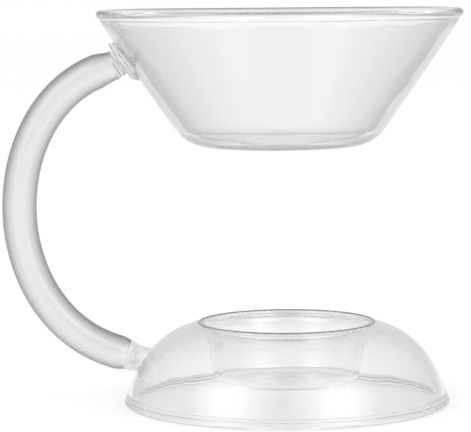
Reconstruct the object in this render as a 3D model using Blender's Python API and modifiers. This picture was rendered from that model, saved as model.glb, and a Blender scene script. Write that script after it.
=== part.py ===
"""A clear glass aroma lamp: an oil bowl held over a candle cup by a hollow C-shaped arm.

Metres, +Z up. The lamp stands on z = 0 and its arm is on the -X side.
"""

import math

import bmesh
import bpy
from mathutils import Vector

# Shared by all pieces
SEAM = 0.0003            # left between pieces that are fused on the real lamp
TURNED_STEPS = 48        # faces round a turned piece
PROFILE_ARC_STEPS = 5    # spans along a rounded part of a turned outline
MERGE_DISTANCE = 0.00001
SHARP_ANGLE = math.radians(40.0)
GLASS_IOR = 1.47

# Bowl
BOWL_RIM_RADIUS = 0.0538
BOWL_RIM_HEIGHT = 0.1166
BOWL_WALL = 0.0022
BOWL_RIM_SWELL = 0.0003  # the rim's bead is rounder than the wall by this radius
BOWL_LEAN = math.radians(34.5)
BOWL_CROWN = 0.00024     # how far the wall swells outwards halfway up
BOWL_WALL_SPANS = 4
BOWL_CORNER = 0.0114
BOWL_FLOOR_HEIGHT = 0.0763
BOWL_TOWARDS_ARM = 0.0015

# Dome that the lamp stands on
DOME_FOOT_RADIUS = 0.0482
DOME_WALL = 0.0020
DOME_RISE = 1.33         # higher is flatter on top
DOME_SHOULDER = 4.53     # higher is squarer at the shoulder
DOME_TOP_HEIGHT = 0.0239
DOME_SPANS = 11
FOOT_ROUND = 0.0007
FOOT_ROUND_SPANS = 3

# Bead that seals the cup into the dome
SEAL_RADIUS = 0.0258
SEAL_BEAD = 0.0012
SEAL_SINK = 0.0007       # the bead's middle lies this far under the dome's top edge
SEAL_BEAD_STEPS = 10

# Candle cup
CUP_WALL = 0.0014
CUP_LEAN = math.radians(8.0)
CUP_LIP_ROLL = 0.0031    # radius of the lip's roll, at the middle of the wall
CUP_CORNER = 0.0040
CUP_FLOOR_HEIGHT = 0.0062

# Arm
ARM_TUBE_RADIUS = 0.0051
ARM_TUBE_WALL = 0.0022
ARM_REACH = 0.0786       # from the base's axis to the middle of the tube
ARM_WAIST_HEIGHT = 0.0582
ARM_TOP_SLOPE = math.radians(18.0)
ARM_FOOT_SLOPE = math.radians(17.0)
ARM_TOP_DROP = 0.0150    # the tube's middle line meets the bowl's wall this far under its rim
ARM_FOOT_HEIGHT = 0.0132 # where it meets the dome
ARM_TOP_STRAIGHT = 0.0027
ARM_FOOT_STRAIGHT = 0.0035
ARM_NECK_RADIUS = 0.0043 # the flame drew the tube in at its end by the bowl
ARM_NECK_LENGTH = 0.0060
ARM_SPANS = 16           # along each half of the arm
ARM_BEVEL_RESOLUTION = 6

# Welds between the arm and the turned pieces
UPPER_WELD_LENGTH = 0.0040
UPPER_WELD_NECK = 0.0042
UPPER_WELD_SAG = -0.0005 # how far the weld's middle hangs under the tube's line
UPPER_FLANGE_RADIUS = 0.0070
LOWER_WELD_LENGTH = 0.0048
LOWER_WELD_NECK = 0.0041
LOWER_WELD_SAG = 0.0008
LOWER_FLANGE_RADIUS = 0.0056
FLANGE_EDGE = 0.0009
FLARE_POWER = 3          # higher keeps a weld slim until it is closer to its ends
WELD_DEPTH = 0.0020      # how far a weld's blank reaches into the wall before it is cut
WELD_RINGS = 8
WELD_SIDES = 24
WALL_STEP = 0.0005       # heights this far either side of a point give its wall's direction

# The beads' places and the arm's upper end follow from the sizes above.
RIM_BEAD = BOWL_WALL / 2 + BOWL_RIM_SWELL
RIM_CENTRE = (BOWL_RIM_RADIUS - RIM_BEAD, BOWL_RIM_HEIGHT - RIM_BEAD)
SEAL_HEIGHT = DOME_TOP_HEIGHT - SEAL_SINK
ARM_TOP_HEIGHT = BOWL_RIM_HEIGHT - ARM_TOP_DROP

# The frame's origin is under the middle of the whole lamp.
ARM_SIDE = ARM_REACH + ARM_TUBE_RADIUS
FREE_SIDE = max(BOWL_RIM_RADIUS - BOWL_TOWARDS_ARM, DOME_FOOT_RADIUS)
BASE_X = (ARM_SIDE - FREE_SIDE) / 2
BOWL_X = BASE_X - BOWL_TOWARDS_ARM


def clear_scene():
    """Remove whatever the file already holds."""
    for thing in list(bpy.data.objects):
        bpy.data.objects.remove(thing)


def make_collection(name):
    """A new collection in the scene."""
    collection = bpy.data.collections.new(name)
    bpy.context.scene.collection.children.link(collection)
    return collection


def glass(name, tint, roughness):
    """A clear glass with a faint tint."""
    material = bpy.data.materials.new(name)
    material.use_nodes = True
    shader = material.node_tree.nodes["Principled BSDF"]
    shader.inputs["Base Color"].default_value = (*tint, 1.0)
    shader.inputs["Roughness"].default_value = roughness
    shader.inputs["Metallic"].default_value = 0.0
    shader.inputs["Transmission Weight"].default_value = 1.0
    shader.inputs["IOR"].default_value = GLASS_IOR
    return material


def shade_round(mesh):
    """Smooth shading, with sharp edges kept."""
    mesh.shade_smooth()
    mesh.set_sharp_from_angle(angle=SHARP_ANGLE)


def arc(centre, radius, start, end, spans=PROFILE_ARC_STEPS):
    """Points of an arc in the outline's plane, with its angles from the outward direction."""
    points = []
    for i in range(spans + 1):
        angle = start + (end - start) * i / spans
        points.append((centre[0] + radius * math.cos(angle), centre[1] + radius * math.sin(angle)))
    return points


def shifted(points, distance):
    """The outline's points moved inwards, square to the outline, which runs downwards outside."""
    moved = []
    for i, (radius, height) in enumerate(points):
        before = points[max(i - 1, 0)]
        after = points[min(i + 1, len(points) - 1)]
        run = (after[0] - before[0], after[1] - before[1])
        length = math.hypot(*run)
        moved.append((radius + run[1] / length * distance, height - run[0] / length * distance))
    return moved


def turned(name, outline, closed, axis_x, collection, material=None):
    """An outline of (radius, height) points turned round a vertical axis."""
    mesh = bpy.data.meshes.new(name)
    vertices = [(radius, 0.0, height) for radius, height in outline]
    edges = [(i, i + 1) for i in range(len(outline) - 1)]
    if closed:
        edges.append((len(outline) - 1, 0))
    mesh.from_pydata(vertices, edges, [])
    thing = bpy.data.objects.new(name, mesh)
    collection.objects.link(thing)
    thing.location = (axis_x, 0.0, 0.0)
    screw = thing.modifiers.new("turn", "SCREW")
    screw.axis = "Z"
    screw.angle = math.tau
    screw.steps = TURNED_STEPS
    screw.render_steps = TURNED_STEPS
    screw.use_smooth_shade = True
    screw.use_merge_vertices = True
    screw.merge_threshold = MERGE_DISTANCE
    if material:
        mesh.materials.append(material)
    return thing


def vessel(top, lean, corner, floor_height):
    """A leaning wall, a rounded corner and a flat floor, from the wall's top down to the axis."""
    centre_height = floor_height + corner
    wall_radius = top[0] - (top[1] - centre_height) * math.tan(lean)
    centre = (wall_radius - corner / math.cos(lean), centre_height)
    return [top] + arc(centre, corner, -lean, -math.pi / 2) + [(0.0, floor_height)]


def crowned(start, end, crown):
    """Points between the ends of a wall that swells outwards, square to the line between them."""
    along = (end[0] - start[0], end[1] - start[1])
    length = math.hypot(*along)
    outwards = (-along[1] / length, along[0] / length)
    points = []
    for i in range(1, BOWL_WALL_SPANS):
        share = i / BOWL_WALL_SPANS
        swell = crown * 4 * share * (1 - share)
        points.append((start[0] + along[0] * share + outwards[0] * swell,
                       start[1] + along[1] * share + outwards[1] * swell))
    return points


def bowl_outside():
    """The bowl's outer outline, from under the rim's bead down to the axis."""
    top = (RIM_CENTRE[0] + RIM_BEAD * math.cos(BOWL_LEAN), RIM_CENTRE[1] - RIM_BEAD * math.sin(BOWL_LEAN))
    points = vessel(top, BOWL_LEAN, BOWL_CORNER, BOWL_FLOOR_HEIGHT)
    return points[:1] + crowned(points[0], points[1], BOWL_CROWN) + points[1:]


def bowl_skin():
    """The bowl's outer outline with the outer half of its rim's bead."""
    return arc(RIM_CENTRE, RIM_BEAD, math.pi / 2, -BOWL_LEAN) + bowl_outside()[1:]


def bowl_outline():
    """The bowl's whole section: up its inside, over the rim and down its outside."""
    outside = bowl_outside()
    inside = shifted(outside, BOWL_WALL)[1:]
    tuck = math.acos((BOWL_WALL - RIM_BEAD) / RIM_BEAD)
    rim = arc(RIM_CENTRE, RIM_BEAD, math.pi - BOWL_LEAN + tuck, -BOWL_LEAN, 2 * PROFILE_ARC_STEPS - 1)
    return inside[::-1] + rim + outside[1:]


def radius_between(points, height):
    """The radius of a falling outline at a height."""
    for upper, lower in zip(points, points[1:]):
        if lower[1] <= height <= upper[1]:
            share = (height - lower[1]) / (upper[1] - lower[1])
            return lower[0] + (upper[0] - lower[0]) * share
    return points[-1][0]


def dome_outside():
    """The dome's outer outline, from its top opening down to the foot's rounding."""
    opening = SEAL_RADIUS + SEAL_BEAD + SEAM
    closed_share = (1 - (opening / DOME_FOOT_RADIUS) ** DOME_SHOULDER) ** (1 / DOME_RISE)
    crest = DOME_TOP_HEIGHT / closed_share
    points = []
    for i in range(DOME_SPANS + 1):
        rise = math.cos(math.pi / 2 * i / DOME_SPANS)
        height = FOOT_ROUND + (DOME_TOP_HEIGHT - FOOT_ROUND) * rise
        radius = DOME_FOOT_RADIUS * (1 - (height / crest) ** DOME_RISE) ** (1 / DOME_SHOULDER)
        points.append((radius, height))
    return points


def dome_outline():
    """The dome's whole section, a closed loop with a narrow flat land under the foot."""
    outside = dome_outside()
    inside = shifted(outside, DOME_WALL)[:-1]
    foot_outside = outside[-1][0]
    foot_inside = foot_outside - DOME_WALL
    outer_round = arc((foot_outside - FOOT_ROUND, FOOT_ROUND), FOOT_ROUND, 0.0, -math.pi / 2,
                      FOOT_ROUND_SPANS)
    inner_round = arc((foot_inside + FOOT_ROUND, FOOT_ROUND), FOOT_ROUND, -math.pi / 2, -math.pi,
                      FOOT_ROUND_SPANS)
    return outside[:-1] + outer_round + inner_round + inside[::-1]


def cup_outline():
    """The cup's whole section: up its inside, round the rolled lip and down its outside."""
    roll_centre = (SEAL_RADIUS, SEAL_HEIGHT - CUP_LIP_ROLL)
    lip_end = math.acos((SEAL_BEAD + SEAM) / CUP_LIP_ROLL)
    outer_roll = CUP_LIP_ROLL - CUP_WALL / 2
    inner_roll = CUP_LIP_ROLL + CUP_WALL / 2
    outer_lip = arc(roll_centre, outer_roll, math.pi - lip_end, math.pi - CUP_LEAN)
    inner_lip = arc(roll_centre, inner_roll, math.pi - lip_end, math.pi - CUP_LEAN)
    outside = vessel(outer_lip[-1], CUP_LEAN, CUP_CORNER, CUP_FLOOR_HEIGHT)
    inside = vessel(inner_lip[-1], CUP_LEAN, CUP_CORNER - CUP_WALL, CUP_FLOOR_HEIGHT + CUP_WALL)
    return inside[::-1] + inner_lip[-2::-1] + outer_lip[:-1] + outside


def seal_outline():
    """The seal's round bead, a closed loop that runs clockwise."""
    return arc((SEAL_RADIUS, SEAL_HEIGHT), SEAL_BEAD, math.pi, -math.pi, SEAL_BEAD_STEPS)[:-1]


def wall_frame(points, height, axis_x):
    """The point of a turned wall on the arm's side at a height, and its outward direction."""
    above = Vector((axis_x - radius_between(points, height + WALL_STEP), 0.0, height + WALL_STEP))
    below = Vector((axis_x - radius_between(points, height - WALL_STEP), 0.0, height - WALL_STEP))
    upwards = (above - below).normalized()
    outwards = Vector((-upwards.z, 0.0, upwards.x))
    return (above + below) / 2, outwards


def smooth_bend(start, start_way, end, end_way):
    """Points of a bend that leaves and arrives in the given directions, close to a circle's arc."""
    turn = start_way.angle(end_way)
    chord = (end - start).length
    handle = 4 / 3 * math.tan(turn / 4) * chord / (2 * math.sin(turn / 2))
    leave = start + start_way * handle
    arrive = end - end_way * handle
    points = []
    for i in range(ARM_SPANS + 1):
        t = i / ARM_SPANS
        points.append(start * (1 - t) ** 3 + leave * 3 * t * (1 - t) ** 2
                      + arrive * 3 * t * t * (1 - t) + end * t ** 3)
    return points


def arm_path(foot_point, top_point):
    """The tube's middle line, from its end by the dome round to its end by the bowl."""
    waist = Vector((BASE_X - ARM_REACH, 0.0, ARM_WAIST_HEIGHT))
    up = Vector((0.0, 0.0, 1.0))
    leaving = Vector((-math.cos(ARM_FOOT_SLOPE), 0.0, math.sin(ARM_FOOT_SLOPE)))
    arriving = Vector((math.cos(ARM_TOP_SLOPE), 0.0, math.sin(ARM_TOP_SLOPE)))
    foot_end = foot_point + leaving * LOWER_WELD_LENGTH
    top_end = top_point - arriving * UPPER_WELD_LENGTH
    lower = smooth_bend(foot_end + leaving * ARM_FOOT_STRAIGHT, leaving, waist, up)
    upper = smooth_bend(waist, up, top_end - arriving * ARM_TOP_STRAIGHT, arriving)
    return [foot_end] + lower + upper[1:] + [top_end]


def necked(distance):
    """The tube's radius at a distance from its end by the bowl."""
    if distance >= ARM_NECK_LENGTH:
        return ARM_TUBE_RADIUS
    share = (1 - math.cos(math.pi * distance / ARM_NECK_LENGTH)) / 2
    return ARM_NECK_RADIUS + (ARM_TUBE_RADIUS - ARM_NECK_RADIUS) * share


def make_arm(path, collection, material):
    """The hollow tube, open at both ends: a curve made a mesh and given its wall."""
    curve = bpy.data.curves.new("arm_line", "CURVE")
    curve.dimensions = "3D"
    curve.bevel_depth = 1.0
    curve.bevel_resolution = ARM_BEVEL_RESOLUTION
    curve.use_fill_caps = False
    spline = curve.splines.new("POLY")
    spline.points.add(len(path) - 1)
    for point, place in zip(spline.points, path):
        point.co = (*place, 1.0)
        point.radius = necked((place - path[-1]).length)
    line = bpy.data.objects.new("arm_line", curve)
    collection.objects.link(line)
    depsgraph = bpy.context.evaluated_depsgraph_get()
    mesh = bpy.data.meshes.new_from_object(line.evaluated_get(depsgraph))
    arm = bpy.data.objects.new("arm_tube", mesh)
    arm.matrix_world = line.matrix_world.copy()
    collection.objects.link(arm)
    bpy.data.objects.remove(line)
    mesh.materials.clear()
    mesh.materials.append(material)
    shade_round(mesh)
    wall = arm.modifiers.new("wall", "SOLIDIFY")
    wall.thickness = ARM_TUBE_WALL
    wall.offset = -1.0
    wall.use_rim = True
    wall.use_even_offset = True
    return arm


def ring_places(centre, facing, radius):
    """Points round a circle that faces a direction in the arm's own plane."""
    sideways = Vector((0.0, 1.0, 0.0))
    upwards = facing.cross(sideways).normalized()
    places = []
    for i in range(WELD_SIDES):
        angle = math.tau * i / WELD_SIDES
        places.append(centre + (sideways * math.cos(angle) + upwards * math.sin(angle)) * radius)
    return places


def weld_rings(tube_end, tube_radius, wall_point, wall_way, neck, flange_radius, sag):
    """Rings from the tube's end through the weld's neck to its flange, and one inside the wall."""
    tube_way = (wall_point - tube_end).normalized()
    start = tube_end + tube_way * SEAM
    flange = wall_point + wall_way * FLANGE_EDGE
    rings = []
    for i in range(WELD_RINGS + 1):
        share = i / WELD_RINGS
        centre = start.lerp(flange, share)
        centre.z -= sag * 4 * share * (1 - share)
        facing = tube_way.lerp(-wall_way, share).normalized()
        from_tube = (tube_radius - neck) * (1 - share) ** FLARE_POWER
        from_flange = (flange_radius - neck) * share ** FLARE_POWER
        rings.append(ring_places(centre, facing, neck + from_tube + from_flange))
    rings.append(ring_places(wall_point - wall_way * WELD_DEPTH, -wall_way, flange_radius))
    return rings


def make_weld(name, rings, cutter, collection, material):
    """The gather of glass between the tube's end and a wall, cut to the wall."""
    shape = bmesh.new()
    rows = [[shape.verts.new(place) for place in ring] for ring in rings]
    for row, following in zip(rows, rows[1:]):
        for i in range(WELD_SIDES):
            j = (i + 1) % WELD_SIDES
            shape.faces.new((row[i], row[j], following[j], following[i]))
    shape.faces.new(rows[0][::-1])
    shape.faces.new(rows[-1])
    bmesh.ops.recalc_face_normals(shape, faces=shape.faces)
    mesh = bpy.data.meshes.new(name)
    shape.to_mesh(mesh)
    shape.free()
    mesh.materials.append(material)
    shade_round(mesh)
    weld = bpy.data.objects.new(name, mesh)
    collection.objects.link(weld)
    cut = weld.modifiers.new("fit_to_wall", "BOOLEAN")
    cut.operation = "DIFFERENCE"
    cut.solver = "EXACT"
    cut.object = cutter
    return weld


def make_cutter(name, outside, axis_x, collection):
    """A solid a seam's width larger than a turned wall, which the welds are cut to."""
    grown = shifted(outside, -SEAM)
    closing = [(0.0, grown[0][1])] + grown
    if grown[-1][0] > 0.0:
        closing.append((0.0, grown[-1][1]))
    cutter = turned(name, closing, False, axis_x, collection)
    cutter.hide_render = True
    cutter.display_type = "WIRE"
    return cutter


def build():
    """Every piece of the lamp."""
    clear_scene()
    lamp = make_collection("aroma_lamp")
    cutters = make_collection("cutters")

    turned("bowl", bowl_outline(), False, BOWL_X, lamp,
           glass("bowl_glass", (0.96, 0.97, 0.97), 0.01))
    turned("base_dome", dome_outline(), True, BASE_X, lamp,
           glass("dome_glass", (0.95, 0.97, 0.97), 0.01))
    turned("cup_seal_ring", seal_outline(), True, BASE_X, lamp,
           glass("seal_glass", (0.93, 0.95, 0.95), 0.02))
    turned("candle_cup", cup_outline(), False, BASE_X, lamp,
           glass("cup_glass", (0.95, 0.96, 0.96), 0.02))

    bowl_cutter = make_cutter("bowl_cutter", bowl_skin(), BOWL_X, cutters)
    dome_cutter = make_cutter("dome_cutter", dome_outside(), BASE_X, cutters)

    top_point, top_way = wall_frame(bowl_outside(), ARM_TOP_HEIGHT, BOWL_X)
    foot_point, foot_way = wall_frame(dome_outside(), ARM_FOOT_HEIGHT, BASE_X)
    path = arm_path(foot_point, top_point)
    make_arm(path, lamp, glass("arm_glass", (0.94, 0.96, 0.96), 0.01))

    upper_rings = weld_rings(path[-1], ARM_NECK_RADIUS, top_point, top_way,
                             UPPER_WELD_NECK, UPPER_FLANGE_RADIUS, UPPER_WELD_SAG)
    make_weld("upper_weld_collar", upper_rings, bowl_cutter, lamp,
              glass("upper_weld_glass", (0.92, 0.94, 0.94), 0.03))
    lower_rings = weld_rings(path[0], ARM_TUBE_RADIUS, foot_point, foot_way,
                             LOWER_WELD_NECK, LOWER_FLANGE_RADIUS, LOWER_WELD_SAG)
    make_weld("lower_weld_collar", lower_rings, dome_cutter, lamp,
              glass("lower_weld_glass", (0.92, 0.94, 0.94), 0.03))


build()
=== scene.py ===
"""Looks of the clear glass aroma lamp: fine smooth glass pieces in place of the faceted solids.

Metres, +Z up. The lamp stands on z = 0, its arm is on the -X side and the viewer looks along +Y.
"""

import itertools
import math

import bpy
from mathutils import Matrix, Vector, noise


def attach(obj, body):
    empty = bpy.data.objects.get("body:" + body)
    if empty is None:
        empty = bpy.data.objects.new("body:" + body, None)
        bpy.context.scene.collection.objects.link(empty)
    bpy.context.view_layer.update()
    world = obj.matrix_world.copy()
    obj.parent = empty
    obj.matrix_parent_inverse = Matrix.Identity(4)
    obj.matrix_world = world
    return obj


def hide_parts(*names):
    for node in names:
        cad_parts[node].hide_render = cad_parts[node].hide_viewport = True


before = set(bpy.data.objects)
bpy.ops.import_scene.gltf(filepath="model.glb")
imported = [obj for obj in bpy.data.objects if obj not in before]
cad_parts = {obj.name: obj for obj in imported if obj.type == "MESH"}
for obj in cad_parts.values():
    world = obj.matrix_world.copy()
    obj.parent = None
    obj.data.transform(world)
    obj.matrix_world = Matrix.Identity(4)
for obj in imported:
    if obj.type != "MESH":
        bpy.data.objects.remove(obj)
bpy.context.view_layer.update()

# Fineness of the meshes
TURNED_STEPS = 200
TUBE_SIDES = 96
WALL_SPANS = 60
CORNER_SPANS = 20
FLOOR_SPANS = 24
RIM_SPANS = 34
DOME_SPANS = 48
FOOT_SPANS = 30
SEAL_SPANS = 32
CUP_WALL_SPANS = 20
CUP_CORNER_SPANS = 14
CUP_FLOOR_SPANS = 16
LIP_SPANS = 16
BEND_SPANS = 90
STRAIGHT_SPANS = 14
WELD_SPANS = 56

# Slow swells of the turned walls and finer ones on them
SWELL_RING = 2.4         # radius of the ring in the noise that one turn of a wall follows
SWELLS_UP = 90.0         # swells to the metre, upwards
FINE_SWELLS = 3.1        # how much closer the finer ones are
FINE_SHARE = 0.4         # and how much lower
BOWL_SEED = 2.0
DOME_SEED = 7.0
CUP_SEED = 11.0

SEAM = 0.00004           # left between pieces that are fused on the real lamp
ON_AXIS = 1e-7           # an outline's point with a smaller radius is on the axis
LEAST_FALL = 1e-12       # keeps level stretches of an outline from a division by zero

# Axes of the turned pieces
BASE_X = 0.0157
BOWL_X = 0.0142

# Bowl
RIM_RADIUS = 0.05379
RIM_HEIGHT = 0.11659
RIM_BEAD = 0.0013
RIM_CURL = math.radians(28.0)   # how far the bead curls in over the wall outside
CURL_LENGTH = 0.0045     # length in which the wall swells out again below it
LIP_LENGTH = 0.0026      # how far down the rim's extra thickness fades
RIM_DROP = 0.0005        # the rim's back is this much lower than its front
RIM_DROP_DEPTH = 0.0120  # and this far down the drop fades out
BOWL_WALL = 0.0022
BOWL_LEAN = math.radians(34.5)
BOWL_CROWN = 0.00024     # how far the wall bulges between its ends
BOWL_CORNER = 0.0114
BOWL_FLOOR = 0.0763
BOWL_WAVE = 0.00006      # height of the swells inside; outside they have a third of it
SCAR_RADIUS = 0.0036     # the mark that the glassblower's rod left under the bowl
SCAR_DEPTH = 0.00030
FLAT_NORMAL = 0.97       # how upright the normals of the flat floor are

# Dome
FOOT_RADIUS = 0.0482
DOME_WALL = 0.0020
DOME_RISE = 1.33         # exponent of the outline's height
DOME_SHOULDER = 4.53     # and of its radius
DOME_TOP = 0.0239
FOOT_ROUND = 0.0007      # height at which the outline ends
FOOT_BEAD = 0.00108      # radius of the fire-polished bead along the foot
FOOT_BEAD_END = math.radians(225.0)   # how far it reaches round, from its outside down and under
INSIDE_START = 2.1       # height at which the wall's inside starts, in radii of the bead
DOME_WAVE = 0.00006      # height of the swells inside; outside they have a third of it
PAINTED_STREAKS_HEIGHT = 0.0031 # painted shade in streaks inside the foot at the back, up to this height
PAINTED_STREAKS_DEPTH = 0.008   # and from this far behind the middle

# Seal bead and cup
SEAL_RADIUS = 0.0258
SEAL_BEAD = 0.0009
SEAL_HEIGHT = 0.0235
CUP_WALL = 0.0014
CUP_LEAN = math.radians(8.0)
CUP_ROLL = 0.0031
CUP_CORNER = 0.0040
CUP_FLOOR = 0.0062
CUP_WAVE = 0.00012

# Arm
TUBE_RADIUS = 0.0051
TUBE_WALL = 0.0022
BORE_SHIFT = 0.00012     # the bore lies a little off the tube's middle
BORE_WAVE = 0.00005
BORE_RING = 1.8          # radius of its ring in the noise
BORE_SWELLS_UP = 12.0    # swells to the metre, upwards
BORE_END = 0.0004        # glass left at each end of the tube
BORE_TAPER = 0.0050
ARM_REACH = 0.0786       # from the dome's axis out to the tube's middle line
WAIST_HEIGHT = 0.0582    # where the tube stands upright
TOP_SLOPE = math.radians(18.0)
FOOT_SLOPE = math.radians(17.0)
TOP_HEIGHT = 0.1016      # where the tube's line meets the bowl
FOOT_HEIGHT = 0.0132     # and where it meets the dome
TOP_STRAIGHT = 0.0027
FOOT_STRAIGHT = 0.0035
TUBE_NECK = 0.0043       # the tube narrows to this radius by the bowl
NECK_LENGTH = 0.0060
FOOT_NECK = 0.0046       # and to this radius by the dome
FOOT_NECK_LENGTH = 0.0030

# Welds
UPPER_LENGTH = 0.0040
UPPER_NECK = 0.0040
UPPER_SAG = -0.0005      # how far the weld's middle hangs down
UPPER_FLANGE = 0.0067
UPPER_RIDGES = 4
UPPER_SEED = 3.0
LOWER_LENGTH = 0.0048
LOWER_NECK = 0.0041
LOWER_SAG = 0.0004
LOWER_FLANGE = 0.0042
LOWER_RIDGES = 7
LOWER_SEED = 8.0
FLANGE_EDGE = 0.0004     # how far a flange's edge stands off the wall
PLATE_START = 0.35       # share of a weld's length where it widens to the plate on the wall
PLATE_RISE = 0.30        # share of its length in which it widens
PLATE_CONE = 0.2         # the widening grows by this share over the weld's length
FACE_RINGS = (0.85, 0.6, 0.3)   # rings of the face against the wall, as shares of its width
RIDGES_RISE = 4.0        # the ridges rise over a quarter of the weld's length
RIDGES_FADE = 6.0        # and fade over its last sixth
RIDGE_HEIGHT = 0.00028
RIDGE_SHARE = 0.6        # mean share of that height, which differs round the weld
RIDGE_WANDER = 0.35      # how far a ridge wanders, in ridge spacings
WANDER_RING = 2.1        # radius of its ring in the noise
LUMP_HEIGHT = 0.00008
LUMP_RING = 6.0          # radius of their ring in the noise
LUMP_ADVANCE = 9.0       # how far the noise moves on over the weld's length

WALL_SEARCH = 0.006      # how far from a point its place on a wall is looked for
SEARCH_HALVINGS = 40

# Painted shade: brightness of the glass by how far it is seen edge on, from 0 facing to 1 edge on
WALL_SHADES = ((0.20, 0.945), (0.30, 0.905), (0.36, 0.855), (0.45, 0.785), (0.62, 0.66), (0.72, 0.42),
               (1.0, 0.30))
FLOOR_SHADES = ((0.20, 0.96), (0.45, 0.91), (1.0, 0.82))
RIM_SHADES = ((0.20, 0.99), (0.80, 0.97), (1.0, 0.60))
CUP_SHADES = ((0.20, 1.0), (0.40, 0.98), (0.65, 0.93), (1.0, 0.80))
DOME_SHADES = ((0.20, 0.96), (0.30, 0.94), (0.65, 0.79), (1.0, 0.60))
TUBE_SHADES = ((0.06, 0.64), (0.12, 0.52), (0.20, 0.46), (0.28, 0.35), (0.43, 0.20), (0.53, 0.12),
               (0.65, 0.06), (1.0, 0.02))
BORE_SHADES = ((0.0, 0.97), (1.0, 0.95))
WELD_SHADES = ((0.20, 0.98), (0.65, 0.90), (1.0, 0.70))

# Painted shade on glass seen directly, darker where it faces up: from and to which slope, and its shades
# there
TUBE_PAINTED_TOP_SHADE = (-0.6, 1.0, 1.3, 0.6)
RIM_PAINTED_TOP_SHADE = (0.50, 0.85, 1.0, 0.75)
SEAL_PAINTED_TOP_SHADE = (0.50, 0.80, 1.0, 0.08)
# The painted shade on the rim's top darkens towards the back: from and to which depth, and its shade at
# the back
BACK_DEPTHS = (-0.010, 0.035)
BACK_SHADE = 0.04
# Painted shade on the bowl's corner, darker at its sides: from and to which slope aside and down, and its
# shade there
CORNER_ASIDE = (0.20, 0.50)
CORNER_DOWN = (-0.72, -0.58)
CORNER_DARK = 0.55

# Painted shade in streaks: the tilt of the direction in which they follow each other, their spacing and
# their shade
UPPER_PAINTED_STREAKS = (BOWL_LEAN - math.pi / 2, 0.0011, 0.45)
LOWER_PAINTED_STREAKS = (math.pi / 2 - FOOT_SLOPE, 0.0008, 0.75)
FOOT_PAINTED_STREAKS = (0.0, 0.0011, 0.45)
BAND_SPACING = math.pi / 10   # spacing of the texture's bands at a scale of 1
STREAK_WANDER = 3.0
STREAK_EDGE = 0.6        # level of the bands above which there is no streak

# Faint waves in the glass's skin: how many to the metre, and their height
FAINT_WAVES = (40.0, 0.00002)
RIM_WAVES = (120.0, 0.00004)
WELD_WAVES = (400.0, 0.00003)
TEXTURE_DETAIL = 2.0

GLASS_BENDING = 1.47     # index of refraction
BORE_BENDING = 1.01      # the bore hardly shows in the thick tube
GLASS_DENSITY = 1.5      # dims light that runs along inside a wall, by the metre

# Studio, as reflections show it: levels in front, behind and above the lamp
FRONT_LEVEL = 0.4
BACK_LEVEL = 0.8
FRONT_END = -0.2         # how far a direction points back where the front level ends
BACK_START = 0.6
SIDE_DIMMING = 0.18      # the studio is a little dimmer on the right
TOP_LEVEL = 0.6
TOP_SLOPES = (0.5, 0.9)  # how far a direction points up where the level above starts and is reached
WORLD_LIGHT = 0.8        # level of the light that falls on the floor

# Floor
FLOOR_REACH = 4.0
FLOOR_SHADE = 0.45
FLOOR_GLOW = 0.635

# Softboxes, in degrees from the front and above the table
SOFTBOX_SIDES = (-49.0, 40.5)
SOFTBOX_RISE = 34.0
SOFTBOX_GLOWS = ((34.0, 3.8), (9.0, 1.8))   # rises and levels of the bright places in reflections
SOFTBOX_SPREAD = 28.0    # how far from its middle a glow fades out
SOFTBOX_SQUEEZE = 1.5    # how much narrower a glow is upwards than sideways
SOFTBOX_SIZE = 0.5
SOFTBOX_DISTANCE = 1.2
SOFTBOX_AIM = 0.05       # height at which they are aimed
SOFTBOX_POWER = 1.6

# Camera
PICTURE_WIDTH = 471      # pixels
FOCAL_WIDTH = 2585.69    # focal length in the same pixels
SENSOR_WIDTH = 36.0      # millimetres
CAMERA_SIDE = -0.014856  # from the dome's axis
CAMERA_DISTANCE = 0.760
CAMERA_HEIGHT = 0.129196
CAMERA_TILT = 0.0964571  # downwards, in radians
CAMERA_ROLL = -0.0082056
CAMERA_NEAR = 0.05
CAMERA_FAR = 20.0

LIGHT_BOUNCES = 128      # enough for light to pass every wall and be mirrored in between


# Outlines

def arc(centre, radius, start, end, spans):
    """Points of an arc in the outline's plane, with its angles from the outward direction."""
    points = []
    for i in range(spans + 1):
        angle = start + (end - start) * i / spans
        points.append((centre[0] + radius * math.cos(angle), centre[1] + radius * math.sin(angle)))
    return points


def shifted(points, distance):
    """The outline's points moved inwards, square to the outline, which runs downwards outside."""
    moved = []
    for i, (radius, height) in enumerate(points):
        before = points[max(i - 1, 0)]
        after = points[min(i + 1, len(points) - 1)]
        run = (after[0] - before[0], after[1] - before[1])
        length = math.hypot(*run)
        moved.append((radius + run[1] / length * distance, height - run[0] / length * distance))
    return moved


def straight(start, end, spans):
    """Points between two ends, without the ends."""
    return [(start[0] + (end[0] - start[0]) * i / spans, start[1] + (end[1] - start[1]) * i / spans)
            for i in range(1, spans)]


# Turned pieces

def build_mesh(name, vertices, faces, material):
    """A smooth object from vertices and faces."""
    mesh = bpy.data.meshes.new(name)
    mesh.from_pydata(vertices, [], faces)
    mesh.validate()
    mesh.shade_smooth()
    mesh.materials.append(material)
    thing = bpy.data.objects.new(name, mesh)
    bpy.context.scene.collection.objects.link(thing)
    return thing


def paint(thing, material, chosen):
    """A further material for the faces of an object that are chosen by a test."""
    slot = len(thing.data.materials)
    thing.data.materials.append(material)
    for face in thing.data.polygons:
        if chosen(face):
            face.material_index = slot


def waved(height, angle, wave, seed):
    """How far the surface of a turned wall swells at a height and an angle."""
    around = (math.cos(angle) * SWELL_RING, math.sin(angle) * SWELL_RING)
    place = Vector((*around, height * SWELLS_UP + seed))
    return noise.noise(place) * wave + noise.noise(place * FINE_SWELLS) * wave * FINE_SHARE


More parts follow.
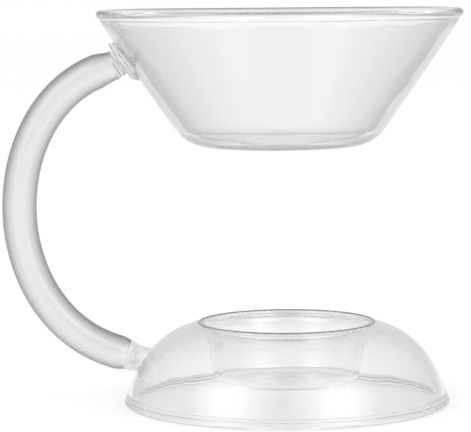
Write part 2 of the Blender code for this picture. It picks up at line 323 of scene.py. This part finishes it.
def turned(name, outline, axis_x, material, waves, seed=0.0, lift=None):
    """A closed outline, or one that starts and ends on the axis, turned round a vertical axis."""
    vertices = []
    rows = []
    for (radius, height), wave in zip(outline, waves):
        if radius < ON_AXIS:
            rows.append([len(vertices)])
            vertices.append((axis_x, 0.0, height))
            continue
        row = []
        for i in range(TURNED_STEPS):
            angle = math.tau * i / TURNED_STEPS
            up = lift(radius, height, angle) if lift else 0.0
            reach = radius + waved(height, angle, wave, seed)
            row.append(len(vertices))
            vertices.append((axis_x + reach * math.cos(angle), reach * math.sin(angle), height + up))
        rows.append(row)
    faces = []
    pairs = list(zip(rows, rows[1:]))
    if len(rows[0]) > 1:
        pairs.append((rows[-1], rows[0]))
    for row, following in pairs:
        for i in range(TURNED_STEPS):
            j = (i + 1) % TURNED_STEPS
            if len(row) == 1:
                faces.append((row[0], following[i], following[j]))
            elif len(following) == 1:
                faces.append((row[j], row[i], following[0]))
            else:
                faces.append((row[i], following[i], following[j], row[j]))
    return build_mesh(name, vertices, faces, material)


def vessel(top, lean, corner, floor_height, corner_spans):
    """A leaning wall, a rounded corner and a flat floor, from the wall's top down to the axis."""
    centre_height = floor_height + corner
    wall_radius = top[0] - (top[1] - centre_height) * math.tan(lean)
    centre = (wall_radius - corner / math.cos(lean), centre_height)
    bend = arc(centre, corner, -lean, -math.pi / 2, corner_spans)
    return [top], bend, [(0.0, floor_height)]


def bowl_outside():
    """The bowl's outer outline, from under the rim's bead down to the axis."""
    rim_centre = (RIM_RADIUS - RIM_BEAD, RIM_HEIGHT - RIM_BEAD)
    top = (rim_centre[0] + RIM_BEAD * math.cos(BOWL_LEAN), rim_centre[1] - RIM_BEAD * math.sin(BOWL_LEAN))
    step = RIM_BEAD * (1 - math.cos(RIM_CURL))
    start, bend, middle = vessel(top, BOWL_LEAN, BOWL_CORNER, BOWL_FLOOR, CORNER_SPANS)
    along = (bend[0][0] - top[0], bend[0][1] - top[1])
    length = math.hypot(*along)
    wall = []
    for i in range(1, WALL_SPANS):
        share = i / WALL_SPANS
        below = share * length - RIM_BEAD * math.sin(RIM_CURL)
        if below < 0.0:
            continue
        swell = BOWL_CROWN * 4 * share * (1 - share) - step * math.exp(-(below / CURL_LENGTH) ** 2)
        wall.append((top[0] + along[0] * share - along[1] / length * swell,
                     top[1] + along[1] * share + along[0] / length * swell))
    floor = straight(bend[-1], middle[0], FLOOR_SPANS)
    return start + wall + bend + floor + middle


def bowl_inside(outside):
    """The bowl's inner outline, thicker under the rim, from just inside the bead down to the axis."""
    thin = shifted(outside, BOWL_WALL)
    thick = shifted(outside, 2 * RIM_BEAD)
    inside = []
    for near, far, outer in zip(thin, thick, outside):
        share = math.exp(-(math.dist(outer, outside[0]) / LIP_LENGTH) ** 2)
        inside.append((near[0] + (far[0] - near[0]) * share, near[1] + (far[1] - near[1]) * share))
    inside[-1] = (0.0, inside[-1][1])
    return inside[1:]


def bowl_outline():
    """The bowl's whole section: up its inside, over the rim and down its outside, with its waves."""
    outside = bowl_outside()
    inside = bowl_inside(outside)
    rim_centre = (RIM_RADIUS - RIM_BEAD, RIM_HEIGHT - RIM_BEAD)
    rim = arc(rim_centre, RIM_BEAD, math.pi - BOWL_LEAN, -BOWL_LEAN - RIM_CURL, RIM_SPANS)
    waves = [BOWL_WAVE] * len(inside) + [0.0] * len(rim) + [-BOWL_WAVE / 3] * (len(outside) - 1)
    return inside[::-1] + rim + outside[1:], waves


def bowl_lift(radius, height, angle):
    """How far the bowl's skin is lifted at a point: the rim sinks at the back, the floor has a scar."""
    near_rim = max(0.0, 1 - (RIM_HEIGHT - height) / RIM_DROP_DEPTH)
    behind = max(0.0, math.sin(angle))
    scar = 0.0
    if height < BOWL_FLOOR + BOWL_WALL / 2:
        scar = SCAR_DEPTH * math.exp(-(radius / SCAR_RADIUS) ** 4)
    return scar - RIM_DROP * near_rim ** 2 * behind ** 2


def dome_outside():
    """The dome's outer outline, from its top opening down to the foot's rounding."""
    opening = SEAL_RADIUS + SEAL_BEAD + SEAM
    closed_share = (1 - (opening / FOOT_RADIUS) ** DOME_SHOULDER) ** (1 / DOME_RISE)
    crest = DOME_TOP / closed_share
    points = []
    for i in range(DOME_SPANS + 1):
        rise = math.cos(math.pi / 2 * i / DOME_SPANS)
        height = FOOT_ROUND + (DOME_TOP - FOOT_ROUND) * rise
        radius = FOOT_RADIUS * (1 - (height / crest) ** DOME_RISE) ** (1 / DOME_SHOULDER)
        points.append((radius, height))
    return points


def dome_outline():
    """The dome's whole section, a closed loop with a round bead for its foot, with its waves."""
    outside = dome_outside()
    bead_centre = (FOOT_RADIUS - FOOT_BEAD, FOOT_BEAD)
    upper = [point for point in outside if point[1] > FOOT_BEAD]
    inside = [point for point in shifted(outside, DOME_WALL) if point[1] > INSIDE_START * FOOT_BEAD]
    bead = arc(bead_centre, FOOT_BEAD, 0.0, -FOOT_BEAD_END, FOOT_SPANS)
    waves = [-DOME_WAVE / 3] * len(upper) + [0.0] * len(bead) + [DOME_WAVE] * len(inside)
    return upper + bead + inside[::-1], waves


def cup_skin(top, corner, floor_height):
    """One side of the cup's wall and floor, from under the rolled lip down to the axis."""
    start, bend, middle = vessel(top, CUP_LEAN, corner, floor_height, CUP_CORNER_SPANS)
    wall = straight(start[0], bend[0], CUP_WALL_SPANS)
    floor = straight(bend[-1], middle[0], CUP_FLOOR_SPANS)
    return start + wall + bend + floor + middle


def cup_outline():
    """The cup's whole section: up its inside, round the rolled lip and down its outside."""
    roll_centre = (SEAL_RADIUS, SEAL_HEIGHT - CUP_ROLL)
    lip_end = math.acos((SEAL_BEAD + SEAM) / CUP_ROLL)
    outer_roll = CUP_ROLL - CUP_WALL / 2
    inner_roll = CUP_ROLL + CUP_WALL / 2
    outer_lip = arc(roll_centre, outer_roll, math.pi - lip_end, math.pi - CUP_LEAN, LIP_SPANS)
    inner_lip = arc(roll_centre, inner_roll, math.pi - lip_end, math.pi - CUP_LEAN, LIP_SPANS)
    outside = cup_skin(outer_lip[-1], CUP_CORNER, CUP_FLOOR)
    inside = cup_skin(inner_lip[-1], CUP_CORNER - CUP_WALL, CUP_FLOOR + CUP_WALL)
    lips = inner_lip[-2::-1] + outer_lip[:-1]
    waves = [CUP_WAVE] * len(inside) + [0.0] * len(lips) + [CUP_WAVE] * len(outside)
    return inside[::-1] + lips + outside, waves


def seal_outline():
    """The seal's round bead, a closed loop that runs clockwise."""
    bead = arc((SEAL_RADIUS, SEAL_HEIGHT), SEAL_BEAD, math.pi, -math.pi, SEAL_SPANS)[:-1]
    return bead, [0.0] * len(bead)


def radius_at(points, height):
    """The radius of a falling outline at a height."""
    for upper, lower in zip(points, points[1:]):
        if lower[1] <= height <= upper[1]:
            share = (height - lower[1]) / max(upper[1] - lower[1], LEAST_FALL)
            return lower[0] + (upper[0] - lower[0]) * share
    return points[0][0] if height > points[0][1] else points[-1][0]


def wall_frame(points, height, axis_x):
    """The point of a turned wall on the arm's side at a height, and its outward direction."""
    step = 0.0005
    above = Vector((axis_x - radius_at(points, height + step), 0.0, height + step))
    below = Vector((axis_x - radius_at(points, height - step), 0.0, height - step))
    upwards = (above - below).normalized()
    outwards = Vector((-upwards.z, 0.0, upwards.x))
    return (above + below) / 2, outwards


# Arm

def smooth_bend(start, start_way, end, end_way):
    """Points of a bend that leaves and arrives in the given directions, close to a circle's arc."""
    turn = start_way.angle(end_way)
    chord = (end - start).length
    handle = 4 / 3 * math.tan(turn / 4) * chord / (2 * math.sin(turn / 2))
    leave = start + start_way * handle
    arrive = end - end_way * handle
    points = []
    for i in range(BEND_SPANS + 1):
        share = i / BEND_SPANS
        rest = 1 - share
        points.append(start * rest ** 3 + leave * 3 * share * rest ** 2
                      + arrive * 3 * share * share * rest + end * share ** 3)
    return points


def arm_path():
    """The tube's middle line, from its end by the dome round to its end by the bowl."""
    foot_point = wall_frame(dome_outside(), FOOT_HEIGHT, BASE_X)[0]
    top_point = wall_frame(bowl_outside(), TOP_HEIGHT, BOWL_X)[0]
    waist = Vector((BASE_X - ARM_REACH, 0.0, WAIST_HEIGHT))
    up = Vector((0.0, 0.0, 1.0))
    leaving = Vector((-math.cos(FOOT_SLOPE), 0.0, math.sin(FOOT_SLOPE)))
    arriving = Vector((math.cos(TOP_SLOPE), 0.0, math.sin(TOP_SLOPE)))
    foot_end = foot_point + leaving * LOWER_LENGTH
    top_end = top_point - arriving * UPPER_LENGTH
    lower_start = foot_end + leaving * FOOT_STRAIGHT
    upper_end = top_end - arriving * TOP_STRAIGHT
    path = [foot_end.lerp(lower_start, i / STRAIGHT_SPANS) for i in range(STRAIGHT_SPANS)]
    path += smooth_bend(lower_start, leaving, waist, up)
    path += smooth_bend(waist, up, upper_end, arriving)[1:]
    path += [upper_end.lerp(top_end, (i + 1) / STRAIGHT_SPANS) for i in range(STRAIGHT_SPANS)]
    return path


def ring_places(centre, facing, radius):
    """Points round a circle that faces a direction in the arm's own plane."""
    sideways = Vector((0.0, 1.0, 0.0))
    upwards = facing.cross(sideways).normalized()
    places = []
    for i in range(TUBE_SIDES):
        angle = math.tau * i / TUBE_SIDES
        places.append(centre + (sideways * math.cos(angle) + upwards * math.sin(angle)) * radius)
    return places


def path_ways(path):
    """The direction of a path at each of its points."""
    ways = []
    for i in range(len(path)):
        before = path[max(i - 1, 0)]
        after = path[min(i + 1, len(path) - 1)]
        ways.append((after - before).normalized())
    return ways


def loft(rings, flip=False):
    """Vertices and faces of a skin over rings of equal counts, its ends closed by fans."""
    sides = len(rings[0])
    vertices = [tuple(place) for ring in rings for place in ring]
    first = sum((Vector(place) for place in rings[0]), Vector()) / sides
    last = sum((Vector(place) for place in rings[-1]), Vector()) / sides
    vertices += [tuple(first), tuple(last)]
    start = len(vertices) - 2
    end = len(vertices) - 1
    top = (len(rings) - 1) * sides
    faces = []
    for row in range(len(rings) - 1):
        here = row * sides
        there = here + sides
        for i in range(sides):
            j = (i + 1) % sides
            faces.append((here + i, here + j, there + j, there + i))
    for i in range(sides):
        j = (i + 1) % sides
        faces.append((start, j, i))
        faces.append((end, top + i, top + j))
    if flip:
        faces = [tuple(reversed(face)) for face in faces]
    return vertices, faces


def eased(share):
    """A share from 0 to 1, held at its ends and eased between them."""
    return (1 - math.cos(math.pi * min(max(share, 0.0), 1.0))) / 2


def tube_radius(place, path):
    """The tube's radius at a point of its path, less near its ends."""
    top = TUBE_NECK + (TUBE_RADIUS - TUBE_NECK) * eased((place - path[-1]).length / NECK_LENGTH)
    foot = FOOT_NECK + (TUBE_RADIUS - FOOT_NECK) * eased((place - path[0]).length / FOOT_NECK_LENGTH)
    return min(top, foot)


def bore_rings(path, ways):
    """Rings along the tube's bore, which is a little off the middle, uneven and closed at both ends."""
    rings = []
    for place, way in zip(path, ways):
        from_end = min((place - path[-1]).length, (place - path[0]).length) - BORE_END
        if from_end <= 0.0:
            continue
        bore = tube_radius(place, path) - TUBE_WALL
        if from_end < BORE_TAPER:
            bore *= math.sqrt(1 - (1 - from_end / BORE_TAPER) ** 2)
        ring = []
        centre = place + Vector((0.0, BORE_SHIFT, 0.0))
        for i, spot in enumerate(ring_places(centre, way, bore)):
            angle = math.tau * i / TUBE_SIDES
            around = (math.cos(angle) * BORE_RING, math.sin(angle) * BORE_RING)
            along = Vector((*around, place.z * BORE_SWELLS_UP))
            ring.append(spot + (spot - centre).normalized() * noise.noise(along) * BORE_WAVE)
        rings.append(ring)
    return rings


def make_arm(path):
    """The hollow tube: an outer skin closed at both ends, and the skin of its bore."""
    ways = path_ways(path)
    outer = [ring_places(place, way, tube_radius(place, path)) for place, way in zip(path, ways)]
    vertices, faces = loft(outer)
    inner_vertices, inner_faces = loft(bore_rings(path, ways), flip=True)
    offset = len(vertices)
    skin_faces = len(faces)
    faces += [tuple(index + offset for index in face) for face in inner_faces]
    arm = build_mesh("glass_arm", vertices + inner_vertices, faces, tube_glass())
    paint(arm, bore_glass(), lambda face: face.index >= skin_faces)
    dress(arm, "clear_glass", "arm_tube")


# Welds

def against_wall(place, into, outline, axis_x, gap):
    """A point moved along a direction until it is a gap outside a turned wall."""
    low, high = -WALL_SEARCH, WALL_SEARCH
    for _ in range(SEARCH_HALVINGS):
        middle = (low + high) / 2
        trial = place + into * middle
        reach = math.hypot(trial.x - axis_x, trial.y)
        if reach > radius_at(outline, trial.z) + gap:
            low = middle
        else:
            high = middle
    return place + into * low


def weld_ring(centre, facing, radius, share, ridges, seed):
    """A ring of a weld at a share of its length, ridged by the flame and the tool."""
    strength = RIDGE_HEIGHT * eased(share * RIDGES_RISE) * eased((1 - share) * RIDGES_FADE)
    ring = []
    for place in ring_places(centre, facing, radius):
        spoke = (place - centre).normalized()
        wander = noise.noise(Vector((spoke.y * WANDER_RING, spoke.z * WANDER_RING, seed)))
        ripple = math.sin(math.tau * (ridges * share + RIDGE_WANDER * wander))
        lump = noise.noise(Vector((spoke.y * LUMP_RING, spoke.z * LUMP_RING, seed + share * LUMP_ADVANCE)))
        height = ripple * strength * (RIDGE_SHARE + wander) + lump * LUMP_HEIGHT
        ring.append(place + spoke * height)
    return ring


def make_weld(name, material, tube_end, tube_end_radius, wall, axis_x, wall_height,
              neck, flange, sag, ridges, seed):
    """The gather of glass between the tube's end and a turned wall."""
    wall_point, wall_way = wall_frame(wall, wall_height, axis_x)
    tube_way = (wall_point - tube_end).normalized()
    start = tube_end + tube_way * SEAM
    edge = wall_point + wall_way * FLANGE_EDGE
    rings = []
    for i in range(WELD_SPANS + 1):
        share = i / WELD_SPANS
        centre = start.lerp(edge, share)
        centre.z -= sag * 4 * share * (1 - share)
        facing = tube_way.lerp(-wall_way, min(share / PLATE_START, 1.0)).normalized()
        rise = eased((share - PLATE_START) / PLATE_RISE) * (1 - PLATE_CONE * (1 - share))
        radius = neck + (tube_end_radius - neck) * (1 - share) ** 3 + (flange - neck) * rise
        rings.append(weld_ring(centre, facing, radius, share, ridges, seed))
    last = rings[-1]
    centre = sum(last, Vector()) / len(last)
    for shrink in (1.0, *FACE_RINGS):
        inner = [centre.lerp(place, shrink) for place in last]
        rings.append([against_wall(place, -wall_way, wall, axis_x, SEAM) for place in inner])
    vertices, faces = loft(rings)
    vertices[-1] = tuple(against_wall(centre, -wall_way, wall, axis_x, SEAM))
    return build_mesh(name, vertices, faces, material)


# Shader sums

def plug(tree, socket, value):
    """Set a socket to a number, or link it to another node's output."""
    if isinstance(value, (int, float)):
        socket.default_value = value
    else:
        tree.links.new(value, socket)


def calc(tree, operation, *values):
    """The output of a sum on one or two values."""
    node = tree.nodes.new("ShaderNodeMath")
    node.operation = operation
    for socket, value in zip(node.inputs, values):
        plug(tree, socket, value)
    return node.outputs[0]


def remap(tree, value, start, end, low, high, interpolation="SMOOTHSTEP"):
    """A value carried over from one range to another, held at its ends."""
    node = tree.nodes.new("ShaderNodeMapRange")
    node.interpolation_type = interpolation
    node.inputs["From Min"].default_value = start
    node.inputs["From Max"].default_value = end
    plug(tree, node.inputs["To Min"], low)
    plug(tree, node.inputs["To Max"], high)
    plug(tree, node.inputs["Value"], value)
    return node.outputs["Result"]


def blend(tree, factor, low, high):
    """A value between two others."""
    node = tree.nodes.new("ShaderNodeMix")
    node.data_type = "FLOAT"
    plug(tree, node.inputs["Factor"], factor)
    plug(tree, node.inputs["A"], low)
    plug(tree, node.inputs["B"], high)
    return node.outputs["Result"]


# Materials

def new_material(name):
    """A material, its node tree and its Principled shader."""
    material = bpy.data.materials.new(name)
    material.use_nodes = True
    return material, material.node_tree, material.node_tree.nodes["Principled BSDF"]


def edge_shade(tree, shades):
    """A painted shade: brightness by how far the glass is seen edge on."""
    facing = tree.nodes.new("ShaderNodeLayerWeight")
    facing.inputs["Blend"].default_value = 0.5
    ramp = tree.nodes.new("ShaderNodeValToRGB")
    elements = ramp.color_ramp.elements
    while len(elements) < len(shades):
        elements.new(0.5)
    for element, (position, shade) in zip(elements, shades):
        element.position = position
        element.color = (shade, shade, shade, 1.0)
    tree.links.new(facing.outputs["Facing"], ramp.inputs["Fac"])
    return ramp.outputs["Color"]


def split(tree, vector):
    """The three numbers of a vector."""
    axes = tree.nodes.new("ShaderNodeSeparateXYZ")
    tree.links.new(vector, axes.inputs[0])
    return axes.outputs


def painted_top_shade(tree, shade, low_slope, high_slope, low_shade, high_shade, back_shade):
    """Painted shade on glass seen directly, darker where it faces up; other glass is left white."""
    path = tree.nodes.new("ShaderNodeLightPath")
    skin = tree.nodes.new("ShaderNodeNewGeometry")
    slope = split(tree, skin.outputs["Normal"])["Z"]
    if back_shade:
        depth = split(tree, skin.outputs["Position"])["Y"]
        high_shade = remap(tree, depth, *BACK_DEPTHS, high_shade, back_shade)
    above = remap(tree, slope, low_slope, high_slope, low_shade, high_shade, "LINEAR")
    return blend(tree, path.outputs["Is Camera Ray"], 1.0, calc(tree, "MULTIPLY", shade, above))


def corner_shade(tree, dark):
    """Painted shade: light that is darker where glass seen directly faces aside and down, as on a corner's
    sides.
    """
    path = tree.nodes.new("ShaderNodeLightPath")
    skin = tree.nodes.new("ShaderNodeNewGeometry")
    slopes = split(tree, skin.outputs["Normal"])
    aside = remap(tree, calc(tree, "ABSOLUTE", slopes["X"]), *CORNER_ASIDE, 0.0, 1.0)
    down = remap(tree, slopes["Z"], *CORNER_DOWN, 1.0, 0.0)
    corner = calc(tree, "MULTIPLY", aside, down)
    direct = calc(tree, "MULTIPLY", corner, path.outputs["Is Camera Ray"])
    return blend(tree, direct, 1.0, dark)


def painted_streak_shade(tree, tilt, spacing, dark):
    """Painted shade: light with darker uneven streaks, which follow each other along a tilted upward
    direction.
    """
    place = tree.nodes.new("ShaderNodeTexCoord")
    turn = tree.nodes.new("ShaderNodeMapping")
    turn.inputs["Rotation"].default_value = (0.0, tilt, 0.0)
    bands = tree.nodes.new("ShaderNodeTexWave")
    bands.bands_direction = "Z"
    bands.inputs["Scale"].default_value = BAND_SPACING / spacing
    bands.inputs["Distortion"].default_value = STREAK_WANDER
    bands.inputs["Detail"].default_value = TEXTURE_DETAIL
    tree.links.new(place.outputs["Object"], turn.inputs["Vector"])
    tree.links.new(turn.outputs["Vector"], bands.inputs["Vector"])
    return remap(tree, bands.outputs["Fac"], 0.0, STREAK_EDGE, dark, 1.0)


def add_waves(tree, shader, scale, height):
    """Faint waves in the glass's skin."""
    place = tree.nodes.new("ShaderNodeTexCoord")
    waves = tree.nodes.new("ShaderNodeTexNoise")
    waves.inputs["Scale"].default_value = scale
    waves.inputs["Detail"].default_value = TEXTURE_DETAIL
    bump = tree.nodes.new("ShaderNodeBump")
    bump.inputs["Strength"].default_value = 1.0
    bump.inputs["Distance"].default_value = height
    tree.links.new(place.outputs["Object"], waves.inputs["Vector"])
    tree.links.new(waves.outputs["Fac"], bump.inputs["Height"])
    tree.links.new(bump.outputs["Normal"], shader.inputs["Normal"])


def add_density(tree, density):
    """A grey tint that grows with the light's way through the glass."""
    inside = tree.nodes.new("ShaderNodeVolumeAbsorption")
    inside.inputs["Color"].default_value = (0.0, 0.0, 0.0, 1.0)
    inside.inputs["Density"].default_value = density
    tree.links.new(inside.outputs["Volume"], tree.nodes["Material Output"].inputs["Volume"])


def glass_material(name, shades, waves=FAINT_WAVES, density=GLASS_DENSITY, bending=GLASS_BENDING,
                   painted_top=None, back_shade=None, painted_streaks=None, corner_dark=None):
    """Clear glass with faint waves and painted shade, darker where it is seen edge on."""
    material, tree, shader = new_material(name)
    shader.inputs["Transmission Weight"].default_value = 1.0
    shader.inputs["IOR"].default_value = bending
    shader.inputs["Roughness"].default_value = 0.0
    shade = edge_shade(tree, shades)
    # painted shade where asked: on the tops of glass seen directly, in streaks, and on a corner's sides
    if painted_top:
        shade = painted_top_shade(tree, shade, *painted_top, back_shade)
    if painted_streaks:
        shade = calc(tree, "MULTIPLY", shade, painted_streak_shade(tree, *painted_streaks))
    if corner_dark:
        shade = calc(tree, "MULTIPLY", shade, corner_shade(tree, corner_dark))
    tree.links.new(shade, shader.inputs["Base Color"])
    add_waves(tree, shader, *waves)
    if density > 0.0:
        add_density(tree, density)
    return material


def wall_glass():
    """The bowl's wall and corner."""
    return glass_material("wall_glass", WALL_SHADES, corner_dark=CORNER_DARK)


def flat_glass():
    """The bowl's flat floor."""
    return glass_material("flat_glass", FLOOR_SHADES)


def rim_glass():
    """The bowl's rim."""
    return glass_material("rim_glass", RIM_SHADES, RIM_WAVES, painted_top=RIM_PAINTED_TOP_SHADE, back_shade=BACK_SHADE)


def dome_glass():
    """The dome."""
    return glass_material("dome_glass", DOME_SHADES)


def foot_glass():
    """The inside of the dome's foot, with painted shade in streaks."""
    return glass_material("foot_glass", DOME_SHADES, painted_streaks=FOOT_PAINTED_STREAKS)


def seal_glass():
    """The bead between the dome and the cup."""
    return glass_material("seal_glass", RIM_SHADES, RIM_WAVES, painted_top=SEAL_PAINTED_TOP_SHADE)


def cup_glass():
    """The thin candle cup."""
    return glass_material("cup_glass", CUP_SHADES)


def tube_glass():
    """The outside of the arm's tube."""
    return glass_material("tube_glass", TUBE_SHADES, density=0.0, painted_top=TUBE_PAINTED_TOP_SHADE)


def bore_glass():
    """The bore of the arm's tube."""
    return glass_material("bore_glass", BORE_SHADES, density=0.0, bending=BORE_BENDING)


def weld_glass(name, painted_streaks):
    """The glass of a weld, with painted shade in streaks."""
    return glass_material(name, WELD_SHADES, WELD_WAVES, density=0.0, painted_streaks=painted_streaks)


# Studio

def softbox_way(side, above):
    """The direction of a softbox from the lamp: in front, to a side and above, in degrees."""
    turn = math.radians(side)
    rise = math.radians(above)
    return Vector((math.sin(turn) * math.cos(rise), -math.cos(turn) * math.cos(rise), math.sin(rise)))


def make_world():
    """A white studio seen directly and through glass, and its bright and dim sides in reflections."""
    world = bpy.data.worlds.new("studio")
    bpy.context.scene.world = world
    world.use_nodes = True
    tree = world.node_tree
    path = tree.nodes.new("ShaderNodeLightPath")
    seen = calc(tree, "MAXIMUM", path.outputs["Is Camera Ray"], path.outputs["Is Transmission Ray"])
    shown = calc(tree, "MAXIMUM", seen, path.outputs["Is Glossy Ray"])
    reflected = calc(tree, "MINIMUM", path.outputs["Glossy Depth"], 1.0)
    direction = tree.nodes.new("ShaderNodeTexCoord")
    axes = split(tree, direction.outputs["Generated"])
    aside = calc(tree, "MULTIPLY", axes["X"], SIDE_DIMMING)
    ahead = calc(tree, "SUBTRACT", axes["Y"], aside)
    sides = remap(tree, ahead, FRONT_END, BACK_START, FRONT_LEVEL, BACK_LEVEL)
    above = remap(tree, axes["Z"], *TOP_SLOPES, 0.0, 1.0)
    room = blend(tree, above, sides, TOP_LEVEL)
    squeeze = Vector((1.0, 1.0, SOFTBOX_SQUEEZE))
    taller = tree.nodes.new("ShaderNodeVectorMath")
    taller.operation = "MULTIPLY"
    taller.inputs[1].default_value = squeeze
    tree.links.new(direction.outputs["Generated"], taller.inputs[0])
    squeezed = tree.nodes.new("ShaderNodeVectorMath")
    squeezed.operation = "NORMALIZE"
    tree.links.new(taller.outputs["Vector"], squeezed.inputs[0])
    for side, (rise, level) in itertools.product(SOFTBOX_SIDES, SOFTBOX_GLOWS):
        aim = tree.nodes.new("ShaderNodeVectorMath")
        aim.operation = "DOT_PRODUCT"
        aim.inputs[1].default_value = (softbox_way(side, rise) * squeeze).normalized()
        tree.links.new(squeezed.outputs["Vector"], aim.inputs[0])
        angle = calc(tree, "ARCCOSINE", aim.outputs["Value"])
        glow = remap(tree, angle, 0.0, math.radians(SOFTBOX_SPREAD), level, 0.0, "LINEAR")
        room = calc(tree, "ADD", room, glow)
    level = blend(tree, reflected, 1.0, room)
    strength = blend(tree, shown, WORLD_LIGHT, level)
    background = tree.nodes["Background"]
    background.inputs["Color"].default_value = (1.0, 1.0, 1.0, 1.0)
    tree.links.new(strength, background.inputs["Strength"])


def make_floor():
    """A wide pale floor that shows white and keeps a soft shadow."""
    ends = (-FLOOR_REACH, FLOOR_REACH)
    corners = [(x, y, 0.0) for x, y in itertools.product(ends, ends)]
    mesh = bpy.data.meshes.new("floor")
    mesh.from_pydata(corners, [], [(0, 2, 3, 1)])
    floor = bpy.data.objects.new("floor", mesh)
    bpy.context.scene.collection.objects.link(floor)
    material, tree, shader = new_material("floor_white")
    shader.inputs["Base Color"].default_value = (FLOOR_SHADE, FLOOR_SHADE, FLOOR_SHADE, 1.0)
    shader.inputs["Roughness"].default_value = 1.0
    shader.inputs["Specular IOR Level"].default_value = 0.0
    shader.inputs["Emission Color"].default_value = (1.0, 1.0, 1.0, 1.0)
    path = tree.nodes.new("ShaderNodeLightPath")
    glow = blend(tree, path.outputs["Is Diffuse Ray"], FLOOR_GLOW, 0.0)
    plug(tree, shader.inputs["Emission Strength"], glow)
    mesh.materials.append(material)


def make_lights():
    """Two soft lights in front of the lamp, left and right, hidden from the glass."""
    target = Vector((BASE_X, 0.0, SOFTBOX_AIM))
    for i, side in enumerate(SOFTBOX_SIDES):
        light = bpy.data.lights.new(f"softbox_{i + 1}", "AREA")
        light.shape = "DISK"
        light.size = SOFTBOX_SIZE
        light.energy = SOFTBOX_POWER
        thing = bpy.data.objects.new(light.name, light)
        way = softbox_way(side, SOFTBOX_RISE)
        thing.location = target + way * SOFTBOX_DISTANCE
        thing.rotation_euler = way.to_track_quat("Z", "Y").to_euler()
        thing.visible_glossy = False
        thing.visible_transmission = False
        bpy.context.scene.collection.objects.link(thing)


def make_camera():
    """The camera at the viewer's place, a long lens tilted a little down and rolled slightly."""
    data = bpy.data.cameras.new("camera")
    data.sensor_fit = "HORIZONTAL"
    data.sensor_width = SENSOR_WIDTH
    data.lens = SENSOR_WIDTH * FOCAL_WIDTH / PICTURE_WIDTH
    data.clip_start = CAMERA_NEAR
    data.clip_end = CAMERA_FAR
    camera = bpy.data.objects.new("camera", data)
    place = Vector((BASE_X + CAMERA_SIDE, -CAMERA_DISTANCE, CAMERA_HEIGHT))
    tilt = Matrix.Rotation(math.pi / 2 - CAMERA_TILT, 4, "X")
    roll = Matrix.Rotation(CAMERA_ROLL, 4, "Z")
    camera.matrix_world = Matrix.Translation(place) @ tilt @ roll
    bpy.context.scene.collection.objects.link(camera)
    bpy.context.scene.camera = camera


# Pieces

def dress(piece, slot, *nodes):
    """The piece rides with the lamp and stands for its solids."""
    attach(piece, "root")
    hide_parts(*nodes)


def make_bowl():
    """The conical bowl, with its own glass on the flat floor and on the rim."""
    outline, waves = bowl_outline()
    bowl = turned("glass_bowl", outline, BOWL_X, wall_glass(), waves, BOWL_SEED, bowl_lift)
    paint(bowl, flat_glass(), lambda face: abs(face.normal.z) > FLAT_NORMAL)
    paint(bowl, rim_glass(), lambda face: face.center.z > RIM_HEIGHT - 2 * RIM_BEAD)
    dress(bowl, "clear_glass", "bowl")


def gets_painted_streaks(face):
    """Whether a face of the dome is inside its foot at the back, where shade is painted in streaks."""
    low = face.center.z < PAINTED_STREAKS_HEIGHT
    behind = face.center.y > PAINTED_STREAKS_DEPTH
    away = math.hypot(face.center.x - BASE_X, face.center.y)
    return low and behind and away < FOOT_RADIUS - FOOT_BEAD


def make_dome():
    """The dome that the lamp stands on."""
    outline, waves = dome_outline()
    dome = turned("glass_dome", outline, BASE_X, dome_glass(), waves, DOME_SEED)
    paint(dome, foot_glass(), gets_painted_streaks)
    dress(dome, "clear_glass", "base_dome")


def make_seal():
    """The bead that joins the cup's lip to the dome."""
    outline, waves = seal_outline()
    seal = turned("glass_seal", outline, BASE_X, seal_glass(), waves)
    dress(seal, "weld_glass", "cup_seal_ring")


def make_cup():
    """The candle cup."""
    outline, waves = cup_outline()
    cup = turned("glass_cup", outline, BASE_X, cup_glass(), waves, CUP_SEED)
    dress(cup, "clear_glass", "candle_cup")


def make_upper_weld(path):
    """The weld between the tube and the bowl."""
    weld = make_weld("glass_upper_weld", weld_glass("upper_weld_glass", UPPER_PAINTED_STREAKS),
                     tube_end=path[-1], tube_end_radius=TUBE_NECK,
                     wall=bowl_outside(), axis_x=BOWL_X, wall_height=TOP_HEIGHT,
                     neck=UPPER_NECK, flange=UPPER_FLANGE, sag=UPPER_SAG,
                     ridges=UPPER_RIDGES, seed=UPPER_SEED)
    dress(weld, "weld_glass", "upper_weld_collar")


def make_lower_weld(path):
    """The weld between the tube and the dome."""
    weld = make_weld("glass_lower_weld", weld_glass("lower_weld_glass", LOWER_PAINTED_STREAKS),
                     tube_end=path[0], tube_end_radius=FOOT_NECK,
                     wall=dome_outside(), axis_x=BASE_X, wall_height=FOOT_HEIGHT,
                     neck=LOWER_NECK, flange=LOWER_FLANGE, sag=LOWER_SAG,
                     ridges=LOWER_RIDGES, seed=LOWER_SEED)
    dress(weld, "weld_glass", "lower_weld_collar")


def make_lamp():
    """Every piece of the lamp."""
    make_bowl()
    make_dome()
    make_seal()
    make_cup()
    path = arm_path()
    make_arm(path)
    make_upper_weld(path)
    make_lower_weld(path)


make_camera()
make_world()
make_lights()
make_floor()
make_lamp()

scene = bpy.context.scene
scene.view_settings.view_transform = "Standard"
scene.cycles.max_bounces = LIGHT_BOUNCES
scene.cycles.transmission_bounces = LIGHT_BOUNCES
scene.cycles.glossy_bounces = LIGHT_BOUNCES
